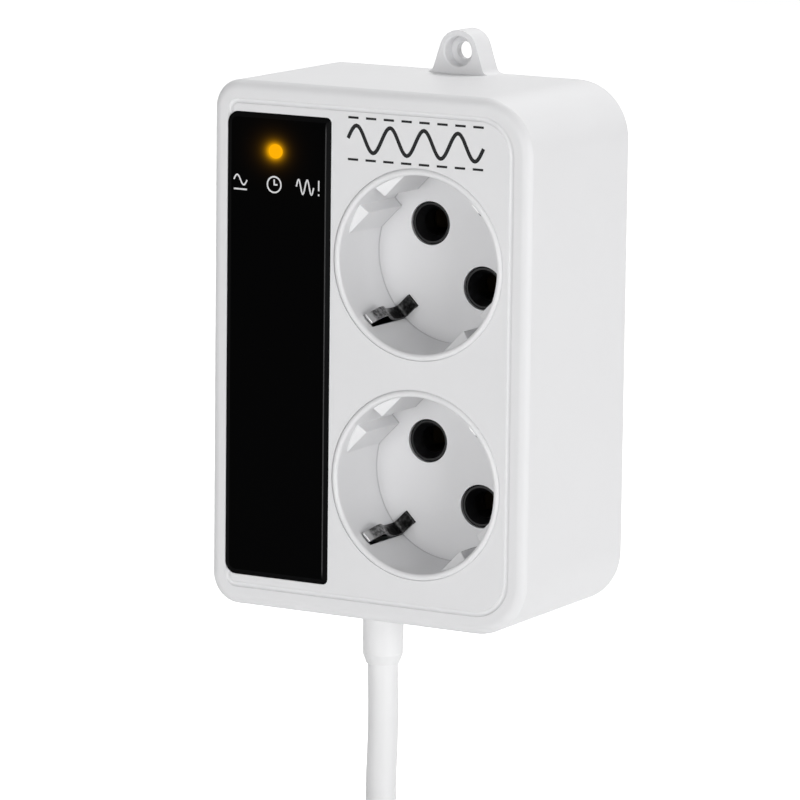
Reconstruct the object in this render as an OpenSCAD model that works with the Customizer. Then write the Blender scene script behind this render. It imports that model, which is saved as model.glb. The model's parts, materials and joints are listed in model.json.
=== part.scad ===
// Two-outlet appliance voltage protector, hung on a wall by its ear.
// The origin is the centre of the hanging hole, in the plane where the screw head bears.
// +X is to the right, +Y goes into the wall, +Z is up. All sizes are in millimetres.

/* [Case] */
// Width of the case
body_w = 80; // [79:0.5:90]
// Height of the case
body_h = 118; // [118:1:130]
// Depth of the case, front face to wall
body_d = 46; // [45.5:0.5:55]
// Corner radius on the side of the dark window
corner_left = 6.5; // [6:0.5:8]
// Corner radius on the side of the outlets
corner_right = 12.5; // [10:0.5:14]
// Thickness of the moulded walls
wall = 2.4; // [2:0.1:2.6]
// Radius of the rounded front edge
edge_r = 2.4; // [2.2:0.1:3]
// Depth of the seam between front cover and housing
seam_depth = 1.4; // [1.2:0.1:1.8]
// Radius of the edge round the back
back_edge_r = 0.8; // [0.5:0.1:1.2]

/* [Front face] */
// Distance from the outline to the middle of the groove that frames the face
groove_inset = 4.6; // [4.2:0.1:5]
// Width of the groove
groove_w = 1.2; // [0.8:0.1:1.4]
// Depth of the groove
groove_d = 0.5; // [0.3:0.1:0.6]
// Width of the dark window
window_w = 26.4; // [25:0.2:27]
// Height of the dark window
window_h = 104; // [100:1:106]
// Distance from the left side to the window
window_inset = 3.9; // [3.7:0.1:4.2]
// Corner radius on the window's left side
window_corner = 2.6; // [2:0.1:3]
// Width of the bevel round the window
window_bevel = 1.1; // [0.8:0.1:1.2]

/* [Outlets] */
// Distance of the outlets from the middle of the case
outlet_x = 12.4; // [12:0.1:12.8]
// Distance between the outlets
outlet_pitch = 48.8; // [48:0.2:50]
// Drop of the outlets below the middle of the case
outlet_drop = 3; // [2:0.5:4]
// Diameter of the round well
well_d = 39.3; // [39:0.1:39.8]
// Depth of the well
well_depth = 17.5; // [17.5:0.1:18]
// Outer diameter of the bead round the well
ring_d = 42.2; // [42:0.1:42.4]
// Distance between the two pins
pin_spacing = 19; // [19:0.1:19.1]
// Diameter of the pin hole
pin_hole_d = 6; // [5.6:0.1:6.2]
// Distance from the well's axis to the flat faces of the guide ribs
rib_flat = 17; // [16.8:0.1:17.2]
// Gap between the two ribs of a pair
rib_gap = 5.5; // [5:0.1:6]
// Width of the earth clips
clip_w = 3.2; // [3:0.1:3.6]

/* [Hanging ear] */
// Height of the hole above the case
ear_rise = 5; // [4.8:0.1:6]
// Radius of the ear's round top
ear_r = 4.8; // [4.6:0.1:5]
// Thickness of the ear
ear_t = 7; // [6.5:0.1:7.5]
// Diameter of the hanging hole
hang_hole_d = 4; // [3.6:0.1:4.4]
// Diameter of the seat for the screw head
hang_seat_d = 6.7; // [6.4:0.1:7]
// Depth of that seat
hang_seat_depth = 3.2; // [3:0.1:3.5]
// Thickness of the web that the screw head bears on
hang_web = 2.1; // [1.8:0.1:2.4]

/* [Cord and plug] */
// Diameter of the mains cord
cord_d = 7; // [7:0.1:7.2]
// Distance of the cord from the middle of the case, to the left
cord_x = 8.4; // [8.2:0.1:8.6]
// Depth of the cord behind the front face
cord_depth = 23; // [22.8:0.1:23.2]
// Length of the strain relief below the case
gland_drop = 14.6; // [14:0.2:20]
// Length of the plug's pins
pin_length = 19; // [19:0.1:19.2]
// Diameter of the plug's pins
pin_d = 4.8; // [4.75:0.01:4.85]

/* [Hidden] */
$fn = 96;
slack = 0.1;

// Case
back_y = ear_t - hang_seat_depth;
front_y = back_y - body_d;
seam_y = front_y + seam_depth;
top_z = -ear_rise;
mid_z = top_z - body_h / 2;
bottom_z = top_z - body_h;
inner_back_y = back_y - wall;
face_t = 3;
edge_inset = sqrt(pow(edge_r, 2) - pow(edge_r - seam_depth, 2));
spigot_inset = wall + slack;
spigot_t = 1.2;
spigot_depth = 3.5;
// The groove's section is an arc: half its width, its depth and its radius belong together
groove_r = (pow(groove_w / 2, 2) + pow(groove_d, 2)) / (2 * groove_d);
ear_lean = 18;
ear_fillet = 1.8;

// Screws that join the front cover to the housing, put in from the back
SCREW_X = [-32, 31];
SCREW_Z = [top_z - 9, bottom_z + 9];
pillar_r = 3.8;
pillar_front_y = -25;
pocket_r = 3.1;
pocket_end_y = -21;
case_screw_r = 1.5;
case_screw_length = 11;
boss_hole_r = case_screw_r + 0.05;
boss_hole_depth = 8;

// Dark window and lights
window_x = -body_w / 2 + window_inset + window_w / 2;
window_t = 2.2;
window_seat = 1.8;
window_sharp_corner = window_bevel + 0.1;
bevel_rise = window_t - window_seat;
LED_X = [-32.6, -23.9, -15.2];
led_z = mid_z + 43.8;
led_r = 1.5;
led_collar_r = led_r + 0.4;
led_tip = 2.4;
led_length = 5.1;
led_collar_t = 0.8;
led_leg = 0.5;
led_leg_pitch = 1.27;
led_block_w = 22;
led_block_h = 4.6;

// Outlets
well_r = well_d / 2;
ring_r = ring_d / 2;
bead_r = (ring_r - well_r) / 2;
bead_centre = 0.3;
floor_t = 2;
cup_depth = well_depth + floor_t;
cup_flange_r = ring_r + 1.8;
cup_flange_t = 1.8;
outlet_mid_z = mid_z - outlet_drop;
OUTLET_Z = [outlet_mid_z + outlet_pitch / 2, outlet_mid_z - outlet_pitch / 2];
// Directions seen from the front: the pins on one diagonal, the earth clips on the other
PIN_LINE = [135, 315];
EARTH_LINE = [45, 225];
pin_offset = pin_spacing / 2 * sin(45);
rib_front_wall = 1.6;
rib_front_flat = 2.8;

bush_r = 4.8;
bush_sink = 0.5;
bush_rim = 0.35;
bush_flange_r = 6.2;
bush_flange_t = 1.5;
bush_body_r = 5.6;
bore_start = 20.2;
bore_length = 4;
chamber_r = 4.5;

bar_depth = 37.2;
bar_t = 0.8;
bar_w = 6;
bar_overhang = 4;
fork_w = 7.2;
leaf_t = 0.6;
leaf_w = 4.4;
// One sprung leaf of the fork, as distances from the pin's axis and depths
LEAF_PATH = [[3.3, 37.6], [3.3, 33], [2.5, 29], [2.5, 28], [3.4, 25.6]];
insulator_depth = bar_depth + bar_t;
insulator_t = 2;
insulator_w = 28;
insulator_h = 40;
post_r = 3;
post_offset = 16;
post_hole_r = 1.15;
post_hole_depth = 8;

clip_t = 0.7;
clip_slot_rho = 15.6;
clip_nose_w = 2.4;
clip_slot_start = 2.7;
earth_strip_w = 5;
peg_r = 1.2;
peg_rho = 5;
// The spring contact, from its foot on the floor of the well to its hooked front end.
// Each point is a distance from the well's axis and a depth.
CLIP_PATH = [
    [15.6, 17.1], [17.8, 17.1], [19.3, 16.8], [19.5, 15], [19.3, 12.4],
    [18.3, 9.6], [17.1, 7.6], [16.9, 6.2], [17.5, 4.4], [18.8, 1.9]
];
// Half of the clip's width at each of these depths: its front end is narrower than its foot
CLIP_SIDE = [[0, clip_nose_w / 2], [8, clip_nose_w / 2], [13, clip_w / 2], [well_depth + 4, clip_w / 2]];

// Circuit board behind the window
board_depth = 9;
board_t = 1.6;
board_w = 22;
board_h = 91;
board_x = -24;
board_top = mid_z + 47.2;
board_back_y = front_y + board_depth + board_t;
BOARD_SCREWS = [[-32.6, mid_z + 37.5], [-15.4, mid_z + 28.5], [-32.6, mid_z - 41], [-15.4, mid_z - 41]];
board_post_r = 2.2;
board_screw_r = 1.05;
board_screw_hole = 1.1;
terminal_z = mid_z - 36;
terminal_h = 8;
terminal_t = 10;
TERMINAL_X = [-30.2, -25.2, -20.2, -15.2];
terminal_entry_y = -27.6;
terminal_entry_depth = 4;
terminal_screw_sink = 2;

// Cord, strain relief and clamp
cord_r = cord_d / 2;
cord_y = front_y + cord_depth;
gland_r = 4.7;
gland_neck_r = 5;
gland_tip_r = 3.8;
gland_tip_l = 2.2;
gland_step = 0.6;
gland_collar_r = 6.4;
gland_collar_t = 1.6;
gland_inside = 4;
cord_clearance = 0.05;
clamp_z = bottom_z + 10.4;
clamp_w = 18;
clamp_h = 6;
clamp_bar_t = 2.5;
clamp_screw_x = 6.3;
clamp_screw_r = 1.2;
clamp_hole_r = 1.25;
clamp_screw_l = 16;

// The cord hangs down in front of the wall. Its spare length is a tied hank with the plug below.
hank_top_z = -173;
hank_w = 7 * cord_d;
hank_h = 22 * cord_d;
hank_turns = 4;
hank_t = (hank_turns + 1) * cord_d;
hank_bottom_z = hank_top_z - hank_h;
tie_w = 12;
tie_t = 1.2;
plug_gap = 7;
plug_relief_l = 22;
plug_relief_r = 4.6;
plug_neck_r = 6.5;
plug_body_l = 34;
plug_face_r = 18.4;
plug_face_z = hank_bottom_z - plug_gap - plug_relief_l - plug_body_l;
plug_guide_flat = rib_flat - 0.6;
plug_guide_w = 12;
plug_guide_l = 15;
plug_pin_root = 8;
plug_pin_root_r = 1.9;
plug_pin_tip = 1.2;

// Route of the cord from its clamp, through the strain relief, down to the hank
CORD_ROUTE = [
    [-8.4, -19.2, -108], [-8.4, -19.2, -118], [-8.4, -19.2, -128], [-8.4, -19.2, -138],
    [-8.1, -19.3, -147], [-8.1, -19.4, -156], [-8.5, -19.2, -165], [-8.5, -19.2, -173]
];
// Route of the cord from the hank to the plug
PLUG_ROUTE = [[-8.4, -19.2, -327], [-8.4, -19.2, -332], [-8.4, -19.2, -338]];
// Wires inside the case
wire_r = 1.1;
LIVE_ROUTE = [
    [-10.2, -19.2, -108], [-10.2, -19.2, -106.6], [-11.6, -20.2, -104.6],
    [-14, -22.6, -103.4], [-15.2, -25.6, -102.8], [-15.2, -27.4, -101], [-15.2, -27.6, -97]
];
NEUTRAL_ROUTE = [
    [-8.4, -17.6, -108], [-8.4, -17.6, -106.4], [-10, -16.8, -104], [-14, -16.6, -102.6],
    [-18.2, -19, -102.6], [-20.2, -24, -103.4], [-20.2, -27.6, -101.6], [-20.2, -27.6, -97]
];
SWITCHED_ROUTE = [
    [-25.2, -27.6, -97], [-25.2, -27.4, -101], [-25.2, -25, -104], [-25, -18, -105.5],
    [-23.5, -11, -103], [-19, -6, -96], [-15, -4, -86], [-11, -3.8, -75],
    [-5.5, -3.4, -67], [1, -3.1, -65.4], [8, -3.1, -65.4]
];
RETURN_ROUTE = [
    [-30.2, -27.6, -97], [-30.2, -27.4, -101], [-30.2, -25, -104.4], [-29.8, -18, -106.5],
    [-27, -9.5, -104.5], [-21.5, -3.2, -98], [-12, -1.4, -90], [-7, -1.4, -80],
    [-3, -1.8, -71.8], [2, -2.2, -69], [10, -2.2, -69], [15.5, -3.1, -69], [21.5, -3.1, -69]
];
EARTH_ROUTE = [
    [-6.6, -19.2, -108], [-6.6, -19.2, -106.4], [-5.4, -19.2, -104.6], [-3, -19.8, -103],
    [-0.6, -20.6, -102.2], [1.8, -20.9, -102]
];
EARTH_LINK_ROUTE = [
    [23, -20.9, -80.8], [20.6, -20, -77.6], [12.4, -18.6, -67], [4.2, -20, -56.4], [1.8, -20.9, -53.2]
];

WHITE = [0.93, 0.93, 0.93];
BLACK = [0.05, 0.05, 0.05];
NICKEL = [0.7, 0.7, 0.7];
BRASS = [0.8, 0.62, 0.25];
BROWN = [0.4, 0.22, 0.12];
BLUE = [0.1, 0.25, 0.7];
GREEN = [0.2, 0.6, 0.2];

// Placing helpers

// Extrudes an outline drawn in X and Z from depth y, backwards
module slab(y, depth) {
    translate([0, y + depth, 0]) rotate([90, 0, 0]) linear_extrude(depth) children();
}

// Turns a profile of radius and depth about an axis along Y
module turned() {
    rotate([-90, 0, 0]) rotate_extrude() children();
}

// Turns what follows so that its X points along an angle in the face
module swing(angle) {
    rotate([0, -angle, 0]) children();
}

// Extrudes a profile of X and depth sideways, centred
module across(width) {
    translate([0, 0, -width / 2]) linear_extrude(width) children();
}

module at_outlet(i) {
    translate([outlet_x, front_y, OUTLET_Z[i]]) children();
}

module at_case_screws() {
    for (x = SCREW_X, z = SCREW_Z) translate([x, 0, z]) children();
}

module at_points(points) {
    for (p = points) translate([p[0], 0, p[1]]) children();
}

// Outlines and edges

// Rounded rectangle with one radius on the left and another on the right
module two_radius_outline(w, h, left_r, right_r) {
    for (s = [-1, 1]) {
        translate([-w / 2 + left_r, s * (h / 2 - left_r)]) circle(r = left_r);
        translate([w / 2 - right_r, s * (h / 2 - right_r)]) circle(r = right_r);
    }
    translate([-w / 2, -h / 2 + left_r]) square([left_r + slack, h - 2 * left_r]);
    translate([w / 2 - right_r - slack, -h / 2 + right_r]) square([right_r + slack, h - 2 * right_r]);
    translate([-w / 2 + left_r, -h / 2]) square([w - left_r - right_r, h]);
}

module case_outline(inset) {
    translate([0, mid_z])
        two_radius_outline(body_w - 2 * inset, body_h - 2 * inset, corner_left - inset, corner_right - inset);
}

module window_outline(grow) {
    translate([window_x, mid_z])
        two_radius_outline(window_w + 2 * grow, window_h + 2 * grow, window_corner + grow,
                           window_sharp_corner + grow);
}

// Sweeps a section round that rectangle. The child draws it for a corner of radius $corner:
// X outwards from the corner's axis, Y up.
module swept_edge(w, h, left_r, right_r) {
    for (c = [[-1, -1, left_r, 180], [-1, 1, left_r, 90], [1, 1, right_r, 0], [1, -1, right_r, 270]])
        translate([c[0] * (w / 2 - c[2]), c[1] * (h / 2 - c[2]), 0]) rotate([0, 0, c[3]])
            rotate_extrude(angle = 90) let($corner = c[2]) children();
    translate([-w / 2 + left_r, h / 2 - left_r, 0]) rotate([90, 0, 0])
        linear_extrude(h - 2 * left_r) mirror([1, 0]) let($corner = left_r) children();
    translate([w / 2 - right_r, h / 2 - right_r, 0]) rotate([90, 0, 0])
        linear_extrude(h - 2 * right_r) let($corner = right_r) children();
    for (s = [0, 1]) mirror([0, s, 0])
        translate([w / 2 - right_r, h / 2 - left_r, 0]) rotate([90, 0, -90])
            linear_extrude(w - left_r - right_r) mirror([1, 0]) let($corner = left_r) children();
}

// Plate whose rim is the swept section, facing +Z
module edged_plate(w, h, left_r, right_r, t) {
    swept_edge(w, h, left_r, right_r) children();
    translate([-w / 2 + left_r, -h / 2 + left_r, 0]) cube([w - left_r - right_r, h - 2 * left_r, t]);
}

module facing_front(y) {
    translate([0, y, mid_z]) rotate([90, 0, 0]) children();
}

module facing_back(y) {
    translate([0, y, mid_z]) rotate([-90, 0, 0]) children();
}

// Front cover's rim: an arc that leaves the face smoothly and meets the seam at a crease
module cover_rim() {
    square([$corner - edge_inset, seam_depth]);
    intersection() {
        translate([$corner - edge_inset, seam_depth - edge_r]) circle(r = edge_r);
        square([$corner, seam_depth]);
    }
}

module back_rim() {
    square([$corner - back_edge_r, back_edge_r]);
    intersection() {
        translate([$corner - back_edge_r, 0]) circle(r = back_edge_r);
        square([$corner, back_edge_r]);
    }
}

module window_rim() {
    inner = $corner - window_bevel;
    polygon([[0, 0], [$corner, 0], [$corner, window_t - bevel_rise], [inner, window_t], [0, window_t]]);
}

// Strips and tubes along a path

function unit(v) = v / norm(v);
function left_of(v) = [-v[1], v[0]];

// Sideways step that keeps a strip's thickness at point i of a path
function mitre(path, i) =
    let(before = unit(path[max(i, 1)] - path[max(i, 1) - 1]))
    let(after = unit(path[min(i, len(path) - 2) + 1] - path[min(i, len(path) - 2)]))
    left_of(unit(before + after)) / (unit(before + after) * before);

// Cuts each corner of a path once, its ends kept
function rounded(path) = concat(
    [path[0]],
    [for (i = [0 : len(path) - 2], f = [0.25, 0.75])
        if ((i > 0 || f > 0.5) && (i < len(path) - 2 || f < 0.5)) path[i] * (1 - f) + path[i + 1] * f],
    [path[len(path) - 1]]
);

module bent_strip(path, t) {
    polygon(concat(
        [for (i = [0 : len(path) - 1]) path[i] + mitre(path, i) * t / 2],
        [for (i = [len(path) - 1 : -1 : 0]) path[i] - mitre(path, i) * t / 2]
    ));
}

function route_direction(p, i) = unit(p[min(i + 1, len(p) - 1)] - p[max(i - 1, 0)]);
// No route here runs along this direction, so each ring starts at a like point
function side_of(d) = unit(cross(d, [-1, 1, 0]));

// Round cord or wire along a route, as one closed skin
module tube_along(route, r, sides) {
    rings = len(route);
    points = [
        for (i = [0 : rings - 1], k = [0 : sides - 1])
            let(d = route_direction(route, i), u = side_of(d), v = cross(d, u), a = 360 * k / sides)
            route[i] + r * (cos(a) * u + sin(a) * v)
    ];
    skin = [
        for (i = [0 : rings - 2], k = [0 : sides - 1])
            let(a = i * sides + k, b = i * sides + (k + 1) % sides)
            each [[a, b, b + sides], [a, b + sides, a + sides]]
    ];
    first = [for (k = [sides - 1 : -1 : 0]) k];
    last = [for (k = [0 : sides - 1]) (rings - 1) * sides + k];
    polyhedron(points, concat(skin, [first, last]));
}

// Pan-headed screw along Y: its head's underside at depth 0, its shank towards the front
module screw(shank_r, head_r, head_t, length) {
    turned() {
        translate([0, -length]) square([shank_r, length + head_t / 2]);
        square([head_r, head_t * 0.6]);
        translate([0, head_t * 0.6]) square([head_r * 0.7, head_t * 0.4]);
    }
}

// Case

module ear_outline() {
    touch = ear_r * [cos(ear_lean), sin(ear_lean)];
    foot = [touch[0] + (touch[1] + ear_rise) * tan(ear_lean), -ear_rise];
    run = ear_fillet / tan((90 + ear_lean) / 2);
    centre = foot + [run, ear_fillet];
    circle(r = ear_r);
    for (s = [0, 1]) mirror([s, 0]) {
        polygon([[0, touch[1]], touch, foot, foot - [0, 1], [0, -ear_rise - 1]]);
        difference() {
            polygon([foot - [0.3, 1], foot + [run, -1], foot + [run, 0], centre,
                     foot + run * [-sin(ear_lean), cos(ear_lean)]]);
            translate(centre) circle(r = ear_fillet);
        }
    }
}

// Deep housing that carries the ear, the pillars of the case screws and the cord
module rear_housing() {
    color(WHITE) difference() {
        union() {
            difference() {
                union() {
                    slab(seam_y, body_d - seam_depth - back_edge_r) case_outline(0);
                    facing_back(back_y - back_edge_r)
                        edged_plate(body_w, body_h, corner_left, corner_right, back_edge_r) back_rim();
                }
                slab(seam_y - 1, inner_back_y - seam_y + 1) case_outline(wall);
            }
            slab(-hang_seat_depth, ear_t) ear_outline();
            at_case_screws() slab(pillar_front_y, back_y - pillar_front_y) circle(r = pillar_r);
            clamp_pedestal();
        }
        slab(-hang_seat_depth - 1, hang_seat_depth + 1) circle(d = hang_seat_d);
        slab(-1, ear_t) circle(d = hang_hole_d);
        slab(hang_web, ear_t) circle(d = hang_seat_d);
        at_case_screws() {
            slab(pocket_end_y, body_d) circle(r = pocket_r);
            slab(pillar_front_y - 1, 10) circle(r = case_screw_r + 0.2);
        }
        translate([-cord_x, cord_y, bottom_z - 1]) cylinder(r = gland_neck_r + slack, h = wall + 2);
    }
}

// Block inside the housing that the cord is clamped against
module clamp_pedestal() {
    translate([-cord_x - clamp_w / 2, cord_y + cord_r, clamp_z - clamp_h / 2]) difference() {
        cube([clamp_w, inner_back_y - cord_y - cord_r + 0.5, clamp_h]);
        for (s = [-1, 1]) translate([clamp_w / 2 + s * clamp_screw_x, -1, clamp_h / 2])
            slab(0, clamp_screw_l - cord_r) circle(r = clamp_hole_r);
    }
}

// Shallow cover with the face, its grooved frame and the seats of window, outlets and board
module front_cover() {
    color(WHITE) difference() {
        union() {
            facing_front(seam_y)
                edged_plate(body_w, body_h, corner_left, corner_right, seam_depth) cover_rim();
            slab(seam_y, face_t - seam_depth) case_outline(spigot_inset);
            slab(seam_y, spigot_depth) difference() {
                case_outline(spigot_inset);
                case_outline(spigot_inset + spigot_t);
            }
            at_case_screws() slab(seam_y, pillar_front_y - seam_y) circle(r = pillar_r);
            at_points(BOARD_SCREWS) slab(seam_y, board_depth - seam_depth) circle(r = board_post_r);
        }
        facing_front(front_y) swept_edge(body_w - 2 * groove_inset, body_h - 2 * groove_inset,
                                         corner_left - groove_inset, corner_right - groove_inset)
            translate([$corner, groove_r - groove_d]) circle(r = groove_r);
        slab(front_y - 1, window_seat + 1) window_outline(slack);
        translate([LED_X[1], front_y, led_z])
            cube([led_block_w + 2 * slack, 2 * face_t + 1, led_block_h + 2 * slack], center = true);
        for (i = [0, 1]) at_outlet(i) {
            slab(-1, face_t + 2) circle(r = ring_r + slack);
            slab(face_t, cup_flange_t + 3) circle(r = cup_flange_r + slack);
        }
        at_case_screws() slab(pillar_front_y - boss_hole_depth, 20) circle(r = boss_hole_r);
        at_points(BOARD_SCREWS) slab(front_y + board_depth - 4, 8) circle(r = board_screw_hole);
    }
}

// Window and lights

// Smoked sheet with a bevelled edge, proud of the face by that bevel
module display_window() {
    color(BLACK) translate([window_x, 0, 0]) facing_front(front_y + window_seat)
        edged_plate(window_w, window_h, window_corner, window_sharp_corner, window_t) window_rim();
}

module led_holder() {
    color(BLACK) difference() {
        translate([LED_X[1] - led_block_w / 2, front_y + window_seat, led_z - led_block_h / 2])
            cube([led_block_w, board_depth - window_seat, led_block_h]);
        for (x = LED_X) translate([x, front_y, led_z]) {
            slab(0, board_depth + 1) circle(r = led_r + slack);
            slab(led_tip + led_length - led_collar_t, board_depth) circle(r = led_collar_r + slack);
        }
    }
}

// Light-emitting diode of 3 mm: domed body, collar and two legs to the board
module led(x) {
    translate([x, front_y + led_tip, led_z]) {
        turned() {
            translate([0, led_r]) square([led_r, led_length - led_r]);
            translate([0, led_length - led_collar_t]) square([led_collar_r, led_collar_t]);
            intersection() {
                translate([0, led_r]) circle(r = led_r);
                square([led_r, led_r]);
            }
        }
        for (s = [-1, 1]) translate([(s * led_leg_pitch - led_leg) / 2, led_length, -led_leg / 2])
            cube([led_leg, board_depth + board_t + 1 - led_tip - led_length, led_leg]);
    }
}

// Outlets

// Two guide ribs with a flat face, their front ends sloping down from the wall
module rib_pair() {
    intersection() {
        slab(0, well_depth + 0.5) difference() {
            circle(r = well_r + 0.4);
            translate([0, -rib_gap / 2]) square([well_d, rib_gap]);
        }
        across(well_d + 2) polygon([
            [rib_flat, rib_front_flat], [well_r + 0.4, rib_front_wall],
            [well_r + 0.4, well_depth + 0.5], [rib_flat, well_depth + 0.5]
        ]);
    }
}

module outlet_cup(i) {
    color(WHITE) at_outlet(i) difference() {
        union() {
            turned() {
                translate([well_r, bead_centre]) square([ring_r - well_r, cup_depth - bead_centre]);
                translate([well_r + bead_r, bead_centre]) circle(r = bead_r);
                translate([0, well_depth]) square([ring_r, floor_t]);
                translate([well_r, face_t]) square([cup_flange_r - well_r, cup_flange_t]);
            }
            for (a = PIN_LINE) swing(a) rib_pair();
            for (a = EARTH_LINE) swing(a) translate([peg_rho, 0, 0])
                slab(cup_depth - 0.5, clip_t + 1) circle(r = peg_r);
            for (s = [-1, 1]) translate([0, 0, s * post_offset])
                slab(cup_depth - 0.5, insulator_depth - cup_depth + 0.5) circle(r = post_r);
        }
        for (a = PIN_LINE) swing(a) translate([pin_spacing / 2, 0, 0])
            slab(well_depth - 1, floor_t + 2) circle(r = bush_r + slack);
        for (a = EARTH_LINE) swing(a)
            translate([0, 0, -clip_w / 2 - slack]) {
                translate([clip_slot_rho - clip_t / 2 - slack, well_depth - 1])
                    cube([clip_t + 2 * slack, floor_t + 2, clip_w + 2 * slack]);
                translate([rib_flat, clip_slot_start])
                    cube([ring_r - rib_flat + 1, well_depth - clip_slot_start, clip_w + 2 * slack]);
            }
        for (s = [-1, 1]) translate([0, 0, s * post_offset])
            slab(insulator_depth - post_hole_depth, post_hole_depth + 1) circle(r = post_hole_r);
    }
}

// Black sleeve that leads a pin into its contact, for pin 0 or 1 of an outlet
module pin_bush(i, pin) {
    front = well_depth + bush_sink;
    lead_in_r = bush_r - 2 * bush_rim;
    color(BLACK) at_outlet(i) swing(PIN_LINE[pin]) translate([pin_spacing / 2, 0, 0])
        turned() difference() {
            union() {
                translate([bush_r - bush_rim, front + bush_rim]) circle(r = bush_rim);
                translate([0, front]) square([bush_r - bush_rim, bush_flange_t]);
                translate([0, front + bush_rim]) square([bush_r, cup_depth - front]);
                translate([0, cup_depth]) square([bush_flange_r, bush_flange_t]);
                translate([0, cup_depth]) square([bush_body_r, bar_depth - cup_depth]);
            }
            polygon([[0, front - 1], [lead_in_r, front - 1], [lead_in_r, front],
                     [pin_hole_d / 2, bore_start], [0, bore_start]]);
            translate([0, bore_start - 0.1]) square([pin_hole_d / 2, bore_length + 0.2]);
            translate([0, bore_start + bore_length]) square([chamber_r, body_d]);
        }
}

// Bent strip behind the floor of the well, whose two ends are the earth clips in it
module earth_contact(i) {
    clip = rounded(rounded(CLIP_PATH));
    strip_depth = cup_depth + clip_t / 2;
    color(NICKEL) at_outlet(i) difference() {
        for (a = EARTH_LINE) swing(a) {
            intersection() {
                across(clip_w) {
                    bent_strip(clip, clip_t);
                    bent_strip([[clip_slot_rho, clip[0][1] - clip_t / 2],
                                [clip_slot_rho, strip_depth + clip_t / 2]], clip_t);
                }
                rotate([90, 0, 90]) linear_extrude(ring_r)
                    polygon(concat(CLIP_SIDE, [for (i = [3 : -1 : 0]) [CLIP_SIDE[i][0], -CLIP_SIDE[i][1]]]));
            }
            across(earth_strip_w)
                bent_strip([[0, strip_depth], [clip_slot_rho + clip_t / 2, strip_depth]], clip_t);
        }
        for (a = EARTH_LINE) swing(a) translate([peg_rho, 0, 0])
            slab(cup_depth - 1, 3) circle(r = peg_r + slack);
    }
}

// Fork of two sprung leaves that grips a pin
module contact_fork() {
    for (s = [0, 1]) mirror([s, 0, 0]) across(leaf_w) bent_strip(LEAF_PATH, leaf_t);
    translate([-fork_w / 2, bar_depth, -leaf_w / 2]) cube([fork_w, bar_t, leaf_w]);
}

// Brass bar that joins the same pin of both outlets
module contact_bar(side) {
    color(BRASS) translate([outlet_x + side * pin_offset, front_y, -side * pin_offset]) {
        for (z = OUTLET_Z) translate([0, 0, z]) contact_fork();
        translate([-bar_w / 2, bar_depth, OUTLET_Z[1] - bar_overhang])
            cube([bar_w, bar_t, outlet_pitch + 2 * bar_overhang]);
    }
}

// Insulating plate that holds bars and bushes in place, screwed to the posts of an outlet
module contact_cover(i) {
    color(BLACK) at_outlet(i) slab(insulator_depth, insulator_t) difference() {
        intersection() {
            circle(r = insulator_h / 2);
            square([insulator_w, insulator_h], center = true);
        }
        for (s = [-1, 1]) translate([0, s * post_offset]) circle(r = post_hole_r + slack);
    }
}

module contact_screws() {
    color(NICKEL) for (i = [0, 1], s = [-1, 1]) at_outlet(i)
        translate([0, insulator_depth + insulator_t, s * post_offset]) screw(post_hole_r - 0.05, 2.1, 1.5, 8);
}

module case_screws() {
    color(NICKEL) at_case_screws()
        translate([0, pocket_end_y, 0]) screw(case_screw_r, pocket_r - 0.3, 2, case_screw_length);
}

// Electronics

module circuit_board() {
    color([0.1, 0.4, 0.2]) difference() {
        translate([board_x - board_w / 2, front_y + board_depth, board_top - board_h])
            cube([board_w, board_t, board_h]);
        at_points(BOARD_SCREWS) slab(front_y, body_d) circle(r = board_screw_r + slack);
        at_case_screws() slab(front_y, body_d) circle(r = pillar_r + 0.5);
        for (x = LED_X, s = [-1, 1])
            translate([x + s * led_leg_pitch / 2, front_y + board_depth, led_z])
                cube([led_leg + 2 * slack, 3 * board_t, led_leg + 2 * slack], center = true);
    }
}

module board_screws() {
    color(NICKEL) at_points(BOARD_SCREWS) translate([0, board_back_y, 0]) screw(board_screw_r, 1.9, 1.4, 5);
}

// Block-shaped component on the back of the board, given by its middle and its size
module on_board(x, dz, size) {
    translate([x - size[0] / 2, board_back_y, mid_z + dz - size[2] / 2]) cube(size);
}

module power_relay() {
    color([0.1, 0.2, 0.5]) on_board(-24.3, 15.2, [15.4, 15.6, 19]);
}

// Capacitor that feeds the control circuit
module film_capacitor() {
    color([0.85, 0.7, 0.1]) on_board(-26, -4, [8.5, 14, 17.5]);
}

module filter_capacitor() {
    color([0.08, 0.1, 0.2]) translate([-19.4, board_back_y, mid_z + 36.6]) turned() square([4, 12]);
}

module varistor() {
    disc_r = 5.5;
    disc_t = 4;
    lift = 2;
    color([0.15, 0.3, 0.6]) translate([-28, board_back_y, mid_z - 20.5]) {
        translate([-disc_t / 2, lift + disc_r, 0]) rotate([0, 90, 0]) cylinder(r = disc_r, h = disc_t);
        for (s = [-1, 1]) translate([0, 0, s * 2.5]) turned() square([0.4, lift + 2]);
    }
}

module fuse() {
    tube_r = 2.2;
    cap_r = 2.6;
    cap_l = 5;
    length = 20;
    color([0.75, 0.75, 0.7]) translate([-17.6, board_back_y + cap_r, mid_z - 26.4]) {
        cylinder(r = tube_r, h = length);
        for (z = [0, length - cap_l]) translate([0, 0, z]) cylinder(r = cap_r, h = cap_l);
    }
}

// Chip in an eight-pin package
module control_chip() {
    lead = 0.5;
    lead_pitch = 2.54;
    color(BLACK) {
        on_board(-27.6, 31, [6.4, 3.4, 9.2]);
        for (s = [-1, 1], k = [-1.5 : 1.5])
            translate([-27.6 + s * 3.8, board_back_y, mid_z + 31 + k * lead_pitch]) {
                translate([-lead / 2, 0, -lead / 2]) cube([lead, 2, lead]);
                translate([-0.6 - s * 0.3, 1.5, -lead / 2]) cube([1.2, lead, lead]);
            }
    }
}

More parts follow.
